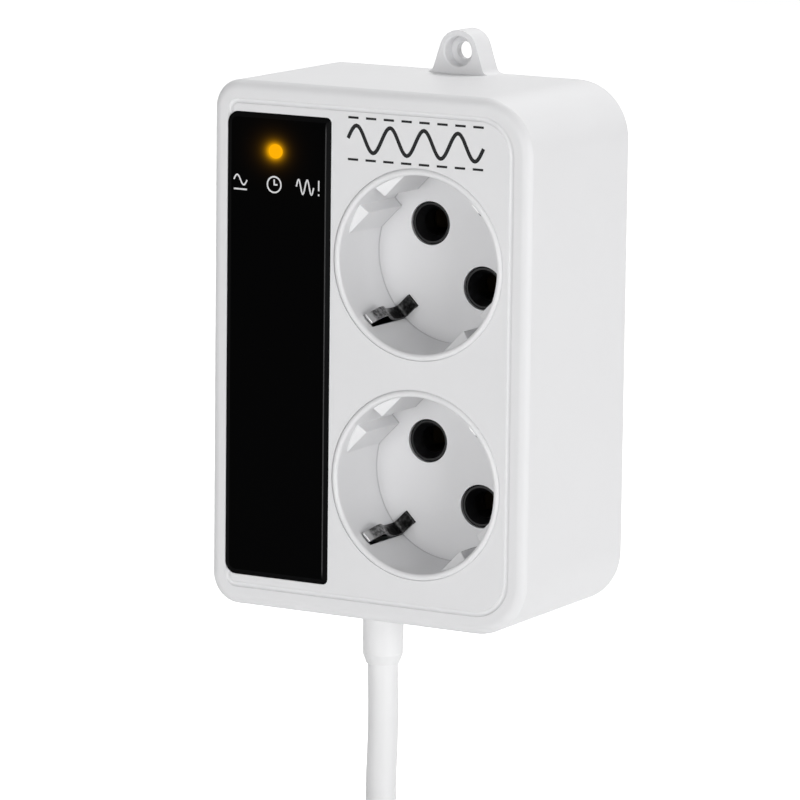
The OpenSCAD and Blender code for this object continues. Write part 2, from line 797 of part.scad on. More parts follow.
module bridge_rectifier() {
    color(BLACK) on_board(-26.9, 38.8, [6.5, 3.4, 5]);
}

module terminal_block() {
    block_w = TERMINAL_X[3] - TERMINAL_X[0] + 5;
    color([0.2, 0.5, 0.3]) difference() {
        translate([TERMINAL_X[0] - 2.5, board_back_y, terminal_z]) cube([block_w, terminal_t, terminal_h]);
        for (x = TERMINAL_X) {
            translate([x, board_back_y + terminal_t, terminal_z + terminal_h / 2])
                slab(-terminal_screw_sink, 3) circle(r = 1.7);
            translate([x, terminal_entry_y, terminal_z - 1])
                cylinder(r = wire_r + slack, h = terminal_entry_depth + 1);
        }
    }
}

module lead(route, tint) {
    color(tint) tube_along(route, wire_r, 8);
}

// Cord, strain relief and clamp

module strain_relief() {
    color(WHITE) translate([-cord_x, cord_y, bottom_z]) rotate_extrude() difference() {
        union() {
            polygon([
                [0, -gland_drop], [gland_tip_r, -gland_drop], [gland_r - 0.1, -gland_drop + gland_tip_l],
                [gland_r, -gland_step], [gland_neck_r + gland_step, -gland_step],
                [gland_neck_r + gland_step, 0], [gland_neck_r, 0], [gland_neck_r, wall], [0, wall]
            ]);
            translate([0, wall]) square([gland_collar_r, gland_collar_t]);
            translate([0, wall]) square([gland_neck_r - 0.4, gland_inside]);
        }
        translate([-1, -gland_drop - 1]) square([cord_r + cord_clearance + 1, body_h]);
    }
}

// Bar with a half-round saddle that presses the cord onto the housing's block
module cord_clamp() {
    color(WHITE) translate([-cord_x, cord_y, clamp_z]) difference() {
        translate([-clamp_w / 2, -cord_r - clamp_bar_t, -clamp_h / 2])
            cube([clamp_w, cord_d + clamp_bar_t, clamp_h]);
        cylinder(r = cord_r + cord_clearance, h = clamp_h + 2, center = true);
        translate([-cord_r - cord_clearance, 0, -clamp_h])
            cube([cord_d + 2 * cord_clearance, cord_d, 2 * clamp_h]);
        for (s = [-1, 1]) translate([s * clamp_screw_x, 0, 0])
            slab(-cord_d, 2 * cord_d) circle(r = clamp_hole_r);
    }
}

module clamp_screws() {
    color(NICKEL) translate([-cord_x, cord_y - cord_r - clamp_bar_t, clamp_z])
        for (s = [-1, 1]) translate([s * clamp_screw_x, 0, 0])
            mirror([0, 1, 0]) screw(clamp_screw_r, 2.3, 1.6, clamp_screw_l);
}

module cord_hank() {
    end_r = hank_w / 2;
    color(WHITE) translate([-cord_x, 0, 0]) slab(cord_y - hank_t / 2, hank_t) {
        for (z = [hank_top_z - end_r, hank_bottom_z + end_r]) translate([0, z]) circle(r = end_r);
        translate([-end_r, hank_bottom_z + end_r]) square([hank_w, hank_h - hank_w]);
    }
}

module hank_tie() {
    color(BLACK) translate([-cord_x, cord_y, (hank_top_z + hank_bottom_z) / 2]) difference() {
        cube([hank_w + 2 * tie_t, hank_t + 2 * tie_t, tie_w], center = true);
        cube([hank_w, hank_t, tie_w + 2], center = true);
    }
}

// Round moulded plug with its pins pointing down
module plug_body() {
    strip_seat = plug_face_r - 2.2;
    color(WHITE) translate([-cord_x, cord_y, plug_face_z]) difference() {
        rotate_extrude() difference() {
            union() {
                polygon([[0, 0], [plug_face_r, 0], [plug_face_r, 14], [14, 22], [11.5, 30],
                         [10.5, plug_body_l], [0, plug_body_l]]);
                polygon([[0, plug_body_l], [plug_neck_r, plug_body_l],
                         [plug_relief_r, plug_body_l + plug_relief_l], [0, plug_body_l + plug_relief_l]]);
            }
            translate([0, plug_body_l + plug_relief_l - 6]) square([cord_r + cord_clearance, 10]);
        }
        for (s = [0, 1]) mirror([s, 0, 0])
            translate([plug_guide_flat, -plug_guide_w / 2, -1]) cube([10, plug_guide_w, plug_guide_l + 1]);
        for (s = [0, 1]) mirror([0, s, 0])
            translate([-2.2, strip_seat, -1]) cube([4.4, 10, plug_guide_l + 1]);
        for (s = [-1, 1]) translate([s * pin_spacing / 2, 0, -1])
            cylinder(r = plug_pin_root_r, h = plug_pin_root + 1);
    }
}

module plug_pins() {
    tip_r = pin_d / 2 - 1;
    color(NICKEL) translate([-cord_x, cord_y, plug_face_z]) for (s = [-1, 1])
        translate([s * pin_spacing / 2, 0, 0]) rotate([180, 0, 0]) rotate_extrude()
            polygon([[0, -plug_pin_root], [plug_pin_root_r, -plug_pin_root], [plug_pin_root_r, 0],
                     [pin_d / 2, 0], [pin_d / 2, pin_length - plug_pin_tip],
                     [tip_r, pin_length], [0, pin_length]]);
}

module plug_earth_strips() {
    color(NICKEL) translate([-cord_x, cord_y, plug_face_z]) for (s = [0, 1]) mirror([0, s, 0])
        translate([-2, plug_face_r - 2.2, 0.4]) cube([4, 0.9, plug_guide_l - 1]);
}

front_cover();
rear_housing();
display_window();
led_holder();
color([0.2, 0.9, 0.3]) led(LED_X[0]);  // led_normal
color([1, 0.65, 0]) led(LED_X[1]);  // led_delay
color([0.9, 0.15, 0.1]) led(LED_X[2]);  // led_fault
outlet_cup(0);  // outlet_cup_upper
outlet_cup(1);  // outlet_cup_lower
pin_bush(0, 0);  // pin_bush_upper_left
pin_bush(0, 1);  // pin_bush_upper_right
pin_bush(1, 0);  // pin_bush_lower_left
pin_bush(1, 1);  // pin_bush_lower_right
earth_contact(0);  // earth_contact_upper
earth_contact(1);  // earth_contact_lower
contact_bar(-1);  // live_bar
contact_bar(1);  // neutral_bar
contact_cover(0);  // contact_cover_upper
contact_cover(1);  // contact_cover_lower
contact_screws();
circuit_board();
board_screws();
power_relay();
film_capacitor();
filter_capacitor();
varistor();
fuse();
control_chip();
bridge_rectifier();
terminal_block();
lead(LIVE_ROUTE, BROWN);  // live_lead
lead(NEUTRAL_ROUTE, BLUE);  // neutral_lead
lead(SWITCHED_ROUTE, BROWN);  // switched_lead
lead(RETURN_ROUTE, BLUE);  // return_lead
lead(EARTH_ROUTE, GREEN);  // earth_lead
lead(EARTH_LINK_ROUTE, GREEN);  // earth_link
cord_clamp();
clamp_screws();
case_screws();
strain_relief();
color(WHITE) tube_along(CORD_ROUTE, cord_r, 12);  // mains_cord
cord_hank();
hank_tie();
color(WHITE) tube_along(PLUG_ROUTE, cord_r, 12);  // plug_cord
plug_body();
plug_pins();
plug_earth_strips();
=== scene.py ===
# %% [markdown]
# An appliance voltage protector: a white plastic case that hangs on a wall by its ear, with two
# round earthed outlets, a tall dark window with a lit status light, and a mains cord. The shapes and
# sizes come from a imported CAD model. This notebook gives them their finish, softens their edges,
# lays the cord, and sets up the studio. All lengths are in metres: +X right, -Y towards the
# viewer, +Z up, and the origin is in the hanging hole of the ear. The model's own plain materials
# are removed first, because every node gets a finish here.

import json
import math

import bmesh
import bpy
from mathutils import Matrix, Vector


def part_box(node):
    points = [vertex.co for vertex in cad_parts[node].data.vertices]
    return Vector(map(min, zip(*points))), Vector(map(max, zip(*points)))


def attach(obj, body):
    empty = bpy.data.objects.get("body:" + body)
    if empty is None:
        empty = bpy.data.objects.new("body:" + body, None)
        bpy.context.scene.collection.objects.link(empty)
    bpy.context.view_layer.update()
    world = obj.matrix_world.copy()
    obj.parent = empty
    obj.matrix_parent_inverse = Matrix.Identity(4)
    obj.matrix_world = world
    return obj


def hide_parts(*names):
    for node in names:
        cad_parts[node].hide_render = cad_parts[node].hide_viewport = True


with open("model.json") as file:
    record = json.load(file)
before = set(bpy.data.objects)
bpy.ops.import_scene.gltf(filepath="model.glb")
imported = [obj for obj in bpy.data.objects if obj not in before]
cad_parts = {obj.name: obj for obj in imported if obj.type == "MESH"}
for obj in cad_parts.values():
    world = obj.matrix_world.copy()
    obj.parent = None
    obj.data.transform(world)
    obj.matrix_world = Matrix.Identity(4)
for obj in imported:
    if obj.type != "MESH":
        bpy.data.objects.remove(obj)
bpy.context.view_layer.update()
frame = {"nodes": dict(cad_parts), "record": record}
nodes = frame["nodes"]
for plain in list(bpy.data.materials):
    bpy.data.materials.remove(plain)
mm = 0.001
print("CAD nodes:", len(nodes))


def middle(name):
    """Middle of a CAD node's box."""
    low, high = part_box(name)
    return (low + high) / 2


# %% [markdown]
# The camera stands to the right of the object and a little above it, far away with a long lens, as
# in a catalogue picture. A camera can be aimed with a constraint, or by hand. Here its three axes
# are worked out from two angles and a slight roll, so that the numbers stay readable. The shift
# moves the object off the middle of the picture without turning the camera.

# %% Camera
CAMERA_AZIMUTH = math.radians(29.45)
CAMERA_ELEVATION = math.radians(9.13)
CAMERA_ROLL = math.radians(0.70)
CAMERA_PLACE = Vector((0.590, -1.0622, 0.12795))
FOCAL_LENGTH = 245.0
PICTURE_SHIFT = (-0.0291, -0.0672)


def turned_camera_axes(azimuth, elevation, roll):
    """Right, up and backward directions of a camera that looks at the object."""
    back = Vector(
        (
            math.sin(azimuth) * math.cos(elevation),
            -math.cos(azimuth) * math.cos(elevation),
            math.sin(elevation),
        )
    )
    level = Vector((math.cos(azimuth), math.sin(azimuth), 0))
    upward = back.cross(level)
    right = level * math.cos(roll) + upward * math.sin(roll)
    return right, back.cross(right), back


camera_data = bpy.data.cameras.new("studio_camera")
camera_data.sensor_width = 36
camera_data.lens = FOCAL_LENGTH
camera_data.shift_x, camera_data.shift_y = PICTURE_SHIFT
camera_data.clip_start = 0.05
camera_data.clip_end = 50
camera = bpy.data.objects.new("studio_camera", camera_data)
bpy.context.scene.collection.objects.link(camera)
axes = Matrix(turned_camera_axes(CAMERA_AZIMUTH, CAMERA_ELEVATION, CAMERA_ROLL)).transposed()
camera.matrix_world = Matrix.Translation(CAMERA_PLACE) @ axes.to_4x4()
bpy.context.scene.camera = camera
print("camera looks along", [round(-value, 3) for value in axes.col[2]])

# %% [markdown]
# The mains cord is one flexible tube of a fixed length. It hangs straight down out of the strain
# relief. What the picture doesn't show is tied up below as for storage: a hank of four turns side
# by side, with the plug under it. A curve object with a round bevel is the natural way to make a
# cord, because its line can be written as a few points. The hank's turns come from a loop. The cord
# comes in between the turns and leaves between them, so the middle layer is left free for it.

# %% Route of the cord
CORD_D = 7 * mm
CORD_ROUTE = [
    (-0.0084, -0.0192, -0.108),
    (-0.0084, -0.0192, -0.118),
    (-0.0084, -0.0192, -0.128),
    (-0.0084, -0.0192, -0.138),
    (-0.0081, -0.0193, -0.147),
    (-0.0081, -0.0194, -0.156),
    (-0.0085, -0.0192, -0.165),
    (-0.0085, -0.0192, -0.173),
]
PLUG_ROUTE = [(-0.0084, -0.0192, -0.327), (-0.0084, -0.0192, -0.332), (-0.0084, -0.0192, -0.338)]

# %% Size and layers of the hank
hank_low, hank_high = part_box("cord_hank")
hank_middle = middle("cord_hank")
FOLD_R = (hank_high.x - hank_low.x - CORD_D) / 2
top_arc_z = hank_high.z - CORD_D / 2 - FOLD_R
low_arc_z = hank_low.z + CORD_D / 2 + FOLD_R
LAYERS = [hank_middle.y + step * CORD_D for step in (-2, -1, 1, 2)]
left_x = hank_middle.x - FOLD_R
right_x = hank_middle.x + FOLD_R
print("hank runs are", round((top_arc_z - low_arc_z) / CORD_D, 1), "diameters long")

# %% Parts of the route
FOLD_STEPS = 10
LEFT_STEPS = 12
STRAIGHT_STEPS = 6
END_STEPS = 10


def smooth(t):
    """Goes from 0 to 1 with no slope at either end."""
    t = min(max(t, 0), 1)
    return t * t * (3 - 2 * t)


def drift(start, end, steps):
    """Points from start to end whose sideways way is eased, so that both ends run along Z."""
    return [
        Vector(
            (
                start.x + (end.x - start.x) * smooth(i / steps),
                start.y + (end.y - start.y) * smooth(i / steps),
                start.z + (end.z - start.z) * i / steps,
            )
        )
        for i in range(steps)
    ]


def fold(y, centre_z, side):
    """Half turn from the left run to the right one below the hank (side -1), or back above it (1)."""
    angles = [math.pi * i / FOLD_STEPS for i in range(FOLD_STEPS)]
    radius = side * FOLD_R
    return [
        Vector((hank_middle.x + radius * math.cos(a), y, centre_z + radius * math.sin(a)))
        for a in angles
    ]


def left_run(y_from, y_to, early, late):
    """Run down the left side. It changes layer in its upper half, its lower half or both."""
    points = []
    for i in range(LEFT_STEPS):
        t = i / LEFT_STEPS
        moved = (early * smooth(2 * t) + late * smooth(2 * t - 1)) / max(early + late, 1)
        y = y_from + (y_to - y_from) * moved
        z = top_arc_z + (low_arc_z - top_arc_z) * t
        points.append(Vector((left_x, y, z)))
    return points


# %% The whole route
def hank_route():
    """Centreline of the hank, from the cord that comes in above to the one that leaves below."""
    inner_x = left_x + CORD_D
    middle_z = (top_arc_z + low_arc_z) / 2
    way_in = Vector((inner_x, LAYERS[0], middle_z))
    way_out = Vector((inner_x, LAYERS[-1], middle_z))
    points = drift(Vector(CORD_ROUTE[-1]), way_in, END_STEPS)
    points += drift(way_in, Vector((left_x, LAYERS[0], low_arc_z)), STRAIGHT_STEPS)
    for turn, y in enumerate(LAYERS):
        points += fold(y, low_arc_z, -1)
        points += drift(Vector((right_x, y, low_arc_z)), Vector((right_x, y, top_arc_z)), STRAIGHT_STEPS)
        points += fold(y, top_arc_z, 1)
        if turn < len(LAYERS) - 1:
            points += left_run(y, LAYERS[turn + 1], early=turn < 2, late=turn > 0)
    points += drift(Vector((left_x, LAYERS[-1], top_arc_z)), way_out, STRAIGHT_STEPS)
    points += drift(way_out, Vector(PLUG_ROUTE[0]), END_STEPS)
    return points


cord_points = [Vector(p) for p in CORD_ROUTE[:-1]] + hank_route() + [Vector(p) for p in PLUG_ROUTE]
cord_length = sum((b - a).length for a, b in zip(cord_points, cord_points[1:]))
print("cord:", len(cord_points), "points,", round(cord_length, 3), "m")


# %% Cord as a bevelled curve
def link(piece):
    """Puts a new piece into the scene."""
    bpy.context.scene.collection.objects.link(piece)
    return piece


def tube(name, points, radius):
    """Round tube along points, as one open curve whose ends are closed.
    Its thickness is in the radius of its points, because Blender's bounding box reads it there."""
    curve = bpy.data.curves.new(name, "CURVE")
    curve.dimensions = "3D"
    curve.resolution_u = 4
    curve.bevel_depth = 1.0
    curve.bevel_resolution = 6
    curve.use_fill_caps = True
    spline = curve.splines.new("BEZIER")
    spline.bezier_points.add(len(points) - 1)
    for knot, place in zip(spline.bezier_points, points):
        knot.co = place
        knot.radius = radius
        knot.handle_left_type = knot.handle_right_type = "AUTO"
    return link(bpy.data.objects.new(name, curve))


cord_piece = tube("mains_cord_whole", cord_points, CORD_D / 2)
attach(cord_piece, "root")
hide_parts("mains_cord", "cord_hank", "plug_cord")

# %% [markdown]
# The world, the floor and every finish are node trees. A tree can be put together by hand in the
# shader editor. In a script each node takes several lines, so a few helpers add one node each and
# return the socket that it gives. What they take can be a number, a colour or such a socket, so a
# helper can stand inside another, as in a formula.


# %% Nodes that calculate
def fill(tree, socket, value):
    """Gives a node's input a number, a colour or another node's output."""
    if isinstance(value, bpy.types.NodeSocket):
        tree.links.new(value, socket)
    else:
        socket.default_value = value


def add_math(tree, operation, first, second=0.0):
    """Math node. Each of its two inputs is a socket or a number."""
    node = tree.nodes.new("ShaderNodeMath")
    node.operation = operation
    fill(tree, node.inputs[0], first)
    fill(tree, node.inputs[1], second)
    return node.outputs[0]


def add_vector_math(tree, operation, first, second=(0, 0, 0)):
    """Vector math node. Its length is a value, and everything else that it gives is a vector."""
    node = tree.nodes.new("ShaderNodeVectorMath")
    node.operation = operation
    fill(tree, node.inputs[0], first)
    fill(tree, node.inputs[1], second)
    return node.outputs["Value" if operation == "LENGTH" else "Vector"]


def add_step(tree, value, low, high):
    """Smooth step from 0 at low to 1 at high. It falls instead where low is the larger."""
    node = tree.nodes.new("ShaderNodeMapRange")
    node.interpolation_type = "SMOOTHSTEP"
    fill(tree, node.inputs["Value"], value)
    fill(tree, node.inputs["From Min"], low)
    fill(tree, node.inputs["From Max"], high)
    return node.outputs["Result"]


# %% Nodes that make colours
def grey(level):
    """Neutral colour, from 0 for black to 1 for white."""
    return (level, level, level, 1)


def scaled_colour(tree, colour, factor):
    """Colour made lighter or darker by a factor."""
    node = tree.nodes.new("ShaderNodeVectorMath")
    node.operation = "SCALE"
    fill(tree, node.inputs[0], colour)
    fill(tree, node.inputs["Scale"], factor)
    return node.outputs["Vector"]


def add_mix(tree, factor, first, second):
    """Colour that goes from the first to the second as the factor goes from 0 to 1."""
    node = tree.nodes.new("ShaderNodeMix")
    node.data_type = "RGBA"
    fill(tree, node.inputs["Factor"], factor)
    fill(tree, node.inputs["A"], first)
    fill(tree, node.inputs["B"], second)
    return node.outputs["Result"]


# %% Nodes that read the surface
def object_place(tree):
    """The point's place in the part's own frame, in metres."""
    return tree.nodes.new("ShaderNodeTexCoord").outputs["Object"]


def one_axis(tree, vector, axis):
    """One of a vector's three numbers: 0 for X, 1 for Y, 2 for Z."""
    split = tree.nodes.new("ShaderNodeSeparateXYZ")
    fill(tree, split.inputs[0], vector)
    return split.outputs[axis]


def facing_y(tree):
    """How the surface faces: -1 towards the front, 0 to a side and 1 towards the back."""
    return one_axis(tree, tree.nodes.new("ShaderNodeNewGeometry").outputs["Normal"], 1)


def add_noise(tree, scale, detail):
    """Noise in the part's own frame. The scale is a socket or a number, per metre."""
    noise = tree.nodes.new("ShaderNodeTexNoise")
    noise.inputs["Detail"].default_value = detail
    fill(tree, noise.inputs["Vector"], object_place(tree))
    fill(tree, noise.inputs["Scale"], scale)
    return noise.outputs["Fac"]


# %% [markdown]
# The studio is plain: a pale floor, a white world and four large soft lamps. The world is seen
# at full white by the camera and in reflections, and lights the object at a lower level, so the
# background stays white while the white plastic keeps its greys. A Light Path node tells the two
# apart. The floor does the same: it glows faintly near the object, where it has to keep a shadow,
# and fully further off, so that it runs into the white of the world without a horizon.

# %% World
AMBIENT = 0.245


def seen_directly(tree):
    """Value of 1 for camera, glossy and transmission rays, and 0 for the light that falls on things."""
    path = tree.nodes.new("ShaderNodeLightPath")
    seen = add_math(tree, "MAXIMUM", path.outputs["Is Camera Ray"], path.outputs["Is Glossy Ray"])
    return add_math(tree, "MAXIMUM", seen, path.outputs["Is Transmission Ray"])


world = bpy.data.worlds.new("studio_world")
bpy.context.scene.world = world
world.use_nodes = True
world_tree = world.node_tree
background = world_tree.nodes["Background"]
background.inputs["Color"].default_value = grey(1)
world_level = add_math(world_tree, "MAXIMUM", seen_directly(world_tree), AMBIENT)
fill(world_tree, background.inputs["Strength"], world_level)
print("world lights at", AMBIENT)

# %% Floor
FLOOR_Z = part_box("plug_pins")[0].z - 4 * mm
FLOOR_HALF = 4.0
FLOOR_WHITE = 0.9
FLOOR_GLOW_NEAR = 0.35
NEAR_UNTIL = 0.5
FAR_FROM = 1.0


def build_floor_white():
    """Matte white with a glow for the rays that see the floor directly."""
    material = bpy.data.materials.new("studio_floor")
    material.use_nodes = True
    tree = material.node_tree
    tree.nodes.clear()
    matte = tree.nodes.new("ShaderNodeBsdfDiffuse")
    matte.inputs["Color"].default_value = grey(FLOOR_WHITE)
    away = add_vector_math(tree, "LENGTH", object_place(tree))
    paler = add_step(tree, away, NEAR_UNTIL, FAR_FROM)
    glow = tree.nodes.new("ShaderNodeEmission")
    fill(tree, glow.inputs["Color"], add_mix(tree, paler, grey(FLOOR_GLOW_NEAR), grey(1)))
    fill(tree, glow.inputs["Strength"], seen_directly(tree))
    both = tree.nodes.new("ShaderNodeAddShader")
    fill(tree, both.inputs[0], matte.outputs[0])
    fill(tree, both.inputs[1], glow.outputs[0])
    surface = tree.nodes.new("ShaderNodeOutputMaterial").inputs["Surface"]
    fill(tree, surface, both.outputs[0])
    return material


floor_mesh = bpy.data.meshes.new("studio_floor")
corner_signs = ((-1, -1), (1, -1), (1, 1), (-1, 1))
floor_corners = [(x * FLOOR_HALF, y * FLOOR_HALF, FLOOR_Z) for x, y in corner_signs]
floor_mesh.from_pydata(floor_corners, [], [(0, 1, 2, 3)])
floor_mesh.materials.append(build_floor_white())
floor = link(bpy.data.objects.new("studio_floor", floor_mesh))
print("floor at", round(FLOOR_Z, 4))

# %% [markdown]
# Each lamp is a large square, so its shadows have soft edges. One stands straight in front and one
# halfway to the right, which light the face and the outlets. A weaker one lights the side, and the
# last hangs above and behind, for the top. The Standard view then shows a colour about as it is
# written in its material.

# %% Lamps
LAMP_SIZE = 0.9
CASE_MIDDLE = Vector((0, -0.02, -0.064))
LAMPS = {
    "front_lamp": ((0.0, -2.22, 0.0), 13.2),
    "quarter_lamp": ((1.898, -1.116, 0.128), 17.0),
    "side_lamp": ((1.986, 0.906, 0.128), 6.5),
    "top_lamp": ((0.0, 1.013, 1.878), 29.0),
}


def softbox(name, place, watts):
    """Square area lamp that faces the middle of the case."""
    lamp = bpy.data.lights.new(name, "AREA")
    lamp.shape = "SQUARE"
    lamp.size = LAMP_SIZE
    lamp.energy = watts
    holder = link(bpy.data.objects.new(name, lamp))
    holder.location = place
    holder.rotation_mode = "QUATERNION"
    holder.rotation_quaternion = (CASE_MIDDLE - Vector(place)).to_track_quat("-Z", "Y")


for name, (place, watts) in LAMPS.items():
    softbox(name, place, watts)
    print(name, "of", watts, "W")

# %% Render settings
bpy.context.scene.view_settings.view_transform = "Standard"

# %% [markdown]
# Moulded plastic is never quite even: the tool leaves a fine grain, and the melt leaves faint
# clouds in colour and gloss. Both are noise at very different scales, so they live in one node
# group with named inputs, which every plastic here uses with its own values. The group only puts
# out colours and values. The shader stays in each material.

# %% Node group for moulded plastic
CLOUDS_PER_METRE = 70.0
GLOSS_CLOUDS_PER_METRE = 220.0


def new_group(name, inputs, outputs):
    """Empty shader group with those sockets, and its two end nodes."""
    group = bpy.data.node_groups.new(name, "ShaderNodeTree")
    for label, kind, value in inputs:
        socket = group.interface.new_socket(label, in_out="INPUT", socket_type=kind)
        socket.default_value = value
    for label, kind in outputs:
        group.interface.new_socket(label, in_out="OUTPUT", socket_type=kind)
    return group, group.nodes.new("NodeGroupInput"), group.nodes.new("NodeGroupOutput")


def build_moulded_grain():
    """Clouds in the colour, clouds in the gloss and a fine grain as height."""
    group, source, sink = new_group(
        "moulded_grain",
        [
            ("Colour", "NodeSocketColor", (0.8, 0.8, 0.8, 1)),
            ("Colour Spread", "NodeSocketFloat", 0.02),
            ("Roughness", "NodeSocketFloat", 0.35),
            ("Roughness Spread", "NodeSocketFloat", 0.04),
            ("Grain per Metre", "NodeSocketFloat", 3000.0),
        ],
        [("Colour", "NodeSocketColor"), ("Roughness", "NodeSocketFloat"), ("Height", "NodeSocketFloat")],
    )
    clouds = add_math(group, "SUBTRACT", add_noise(group, CLOUDS_PER_METRE, 3.0), 0.5)
    factor = add_math(group, "MULTIPLY", clouds, source.outputs["Colour Spread"])
    factor = add_math(group, "ADD", factor, 1.0)
    fill(group, sink.inputs["Colour"], scaled_colour(group, source.outputs["Colour"], factor))
    gloss = add_math(group, "SUBTRACT", add_noise(group, GLOSS_CLOUDS_PER_METRE, 4.0), 0.5)
    gloss = add_math(group, "MULTIPLY", gloss, source.outputs["Roughness Spread"])
    gloss = add_math(group, "ADD", gloss, source.outputs["Roughness"])
    fill(group, sink.inputs["Roughness"], gloss)
    fill(group, sink.inputs["Height"], add_noise(group, source.outputs["Grain per Metre"], 3.0))
    return group


moulded_grain = build_moulded_grain()
print("group:", moulded_grain.name, [s.name for s in moulded_grain.interface.items_tree])


# %% Parts of every material
def new_material(name):
    """New material with a Principled shader. Returns its tree and the shader."""
    material = bpy.data.materials.new(name)
    material.use_nodes = True
    return material.node_tree, material.node_tree.nodes["Principled BSDF"]


def use_group(tree, group, **values):
    """Group node with its inputs set by name, with _ for a space."""
    node = tree.nodes.new("ShaderNodeGroup")
    node.node_tree = group
    for label, value in values.items():
        fill(tree, node.inputs[label.replace("_", " ")], value)
    return node


def add_bump(tree, shader, height, depth):
    """Bump from a height of 0 to 1 that stands for that depth in metres."""
    bump = tree.nodes.new("ShaderNodeBump")
    bump.inputs["Strength"].default_value = 1.0
    bump.inputs["Distance"].default_value = depth
    fill(tree, bump.inputs["Height"], height)
    fill(tree, shader.inputs["Normal"], bump.outputs["Normal"])


# %% Plastics
def plastic(
    name, colour, roughness, grain=3000.0, depth=0.004 * mm, specular=0.5, spread=0.02, coat=0.0
):
    """Moulded plastic of that linear colour. Returns the material's tree and shader."""
    tree, shader = new_material(name)
    skin = use_group(
        tree,
        moulded_grain,
        Colour=(*colour, 1),
        Colour_Spread=spread,
        Roughness=roughness,
        Roughness_Spread=0.25 * roughness,
        Grain_per_Metre=grain,
    )
    fill(tree, shader.inputs["Base Color"], skin.outputs["Colour"])
    fill(tree, shader.inputs["Roughness"], skin.outputs["Roughness"])
    add_bump(tree, shader, skin.outputs["Height"], depth)
    shader.inputs["Specular IOR Level"].default_value = specular
    shader.inputs["Coat Weight"].default_value = coat
    return tree, shader


plastic("case_white", (0.79, 0.79, 0.80), 0.42, 2600.0)
plastic("insert_black", (0.004, 0.004, 0.0045), 0.35, specular=0.3)
plastic("cord_white", (0.80, 0.80, 0.805), 0.5, 1800.0)
plastic("plug_white", (0.76, 0.76, 0.77), 0.45, 2200.0)
plastic("relay_blue", (0.05, 0.12, 0.4), 0.4)
plastic("capacitor_yellow", (0.8, 0.55, 0.06), 0.3)
plastic("capacitor_dark", (0.02, 0.03, 0.07), 0.25, coat=0.5)
plastic("varistor_blue", (0.06, 0.2, 0.5), 0.5, 900.0, 0.02 * mm)
plastic("terminal_green", (0.05, 0.35, 0.15), 0.45)
plastic("board_green", (0.03, 0.2, 0.08), 0.3, 700.0, 0.01 * mm, spread=0.3, coat=0.6)
plastic("wire_brown", (0.16, 0.07, 0.03), 0.4)
plastic("wire_blue", (0.04, 0.12, 0.5), 0.4)
plastic("wire_green", (0.1, 0.4, 0.06), 0.4)
plastic("led_green", (0.2, 0.7, 0.3), 0.1)
plastic("led_amber", (1.0, 0.5, 0.02), 0.1)
plastic("led_red", (0.7, 0.08, 0.06), 0.1)
plastic("fuse_glass", (0.6, 0.62, 0.6), 0.1)
plastic("print_black", (0.006, 0.006, 0.007), 0.55, specular=0.2)
plastic("print_white", (0.72, 0.72, 0.73), 0.5, specular=0.3)
print("materials so far:", len(bpy.data.materials))

# %% [markdown]
# The wells have nearly the white of the case. Where a wall meets the floor there is a fine crease
# that gets little light, and its shade is painted into the colour. It could be a groove in the mesh,
# but it is narrower than half a millimetre, so a mask from the depth in the well and the direction
# of the surface darkens the wall just above the floor.

# %% White of the wells
WELL_R = 19.65 * mm
WELL_DEPTH = 17.5 * mm
CREASE_HEIGHT = 0.75 * mm
CREASE_FADE = 0.40 * mm
CREASE_SHADE = 0.25
face_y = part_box("front_cover")[0].y


def build_cup_white():
    """White of the wells, with painted shade on the wall just above the floor."""
    tree, shader = plastic("cup_white", (0.80, 0.80, 0.81), 0.42, 2600.0)
    plain_white = shader.inputs["Base Color"].links[0].from_socket
    crease_y = face_y + WELL_DEPTH - CREASE_HEIGHT
    depth = one_axis(tree, object_place(tree), 1)
    near_floor = add_step(tree, depth, crease_y, crease_y + CREASE_FADE)
    on_wall = add_step(tree, facing_y(tree), -0.8, -0.5)
    # painted shade of the crease where the wall meets the floor
    crease_shade_mask = add_math(tree, "MULTIPLY", near_floor, on_wall)
    shade = add_math(tree, "SUBTRACT", 1.0, add_math(tree, "MULTIPLY", crease_shade_mask, CREASE_SHADE))
    fill(tree, shader.inputs["Base Color"], scaled_colour(tree, plain_white, shade))


build_cup_white()
print("floor of the wells at", round(face_y + WELL_DEPTH, 4))

# %% [markdown]
# The window is a smoked sheet that is black until a light behind it is on. One light is on here.
# A real lamp behind a clear sheet would take many samples, and the sheet scatters only a little of
# its light. So the sheet's own surface glows: a disc as wide as the lens, a close halo that fades
# within a millimetre, and a weak one that reaches further. The glow is worked out from the distance
# to the light in the part's own frame. The lens is a dome, which looks as wide from the side as from
# the front, so the disc is a little wider than high. It stands a little behind the sheet, so from
# the right it shows a little to the right.

# %% Glow of the light that is on
LIGHT_CENTRE = middle("led_delay")
LIGHT_AMBER = (1.0, 0.445, 0.001)
LENS_R = 1.86 * mm
LENS_EDGE = 0.12 * mm
DOME_STRETCH = 1.13
LENS_SHIFT = 0.3 * mm
CLOSE_SHIFT = 0.12 * mm
WIDE_SHIFT = -0.3 * mm


def from_light(tree, shift):
    """Distance to the light as seen from the front, with heights stretched and the light shifted."""
    offset = add_vector_math(tree, "SUBTRACT", object_place(tree), LIGHT_CENTRE + Vector((shift, 0, 0)))
    flat = add_vector_math(tree, "MULTIPLY", offset, (1, 0, DOME_STRETCH))
    return add_vector_math(tree, "LENGTH", flat)


def halo(tree, shift, strength, reach):
    """Glow round the lens that falls to about a third with each reach outwards."""
    beyond = add_math(tree, "SUBTRACT", from_light(tree, shift), LENS_R)
    power = add_math(tree, "DIVIDE", add_math(tree, "MAXIMUM", beyond, 0.0), -reach)
    return add_math(tree, "MULTIPLY", add_math(tree, "EXPONENT", power), strength)


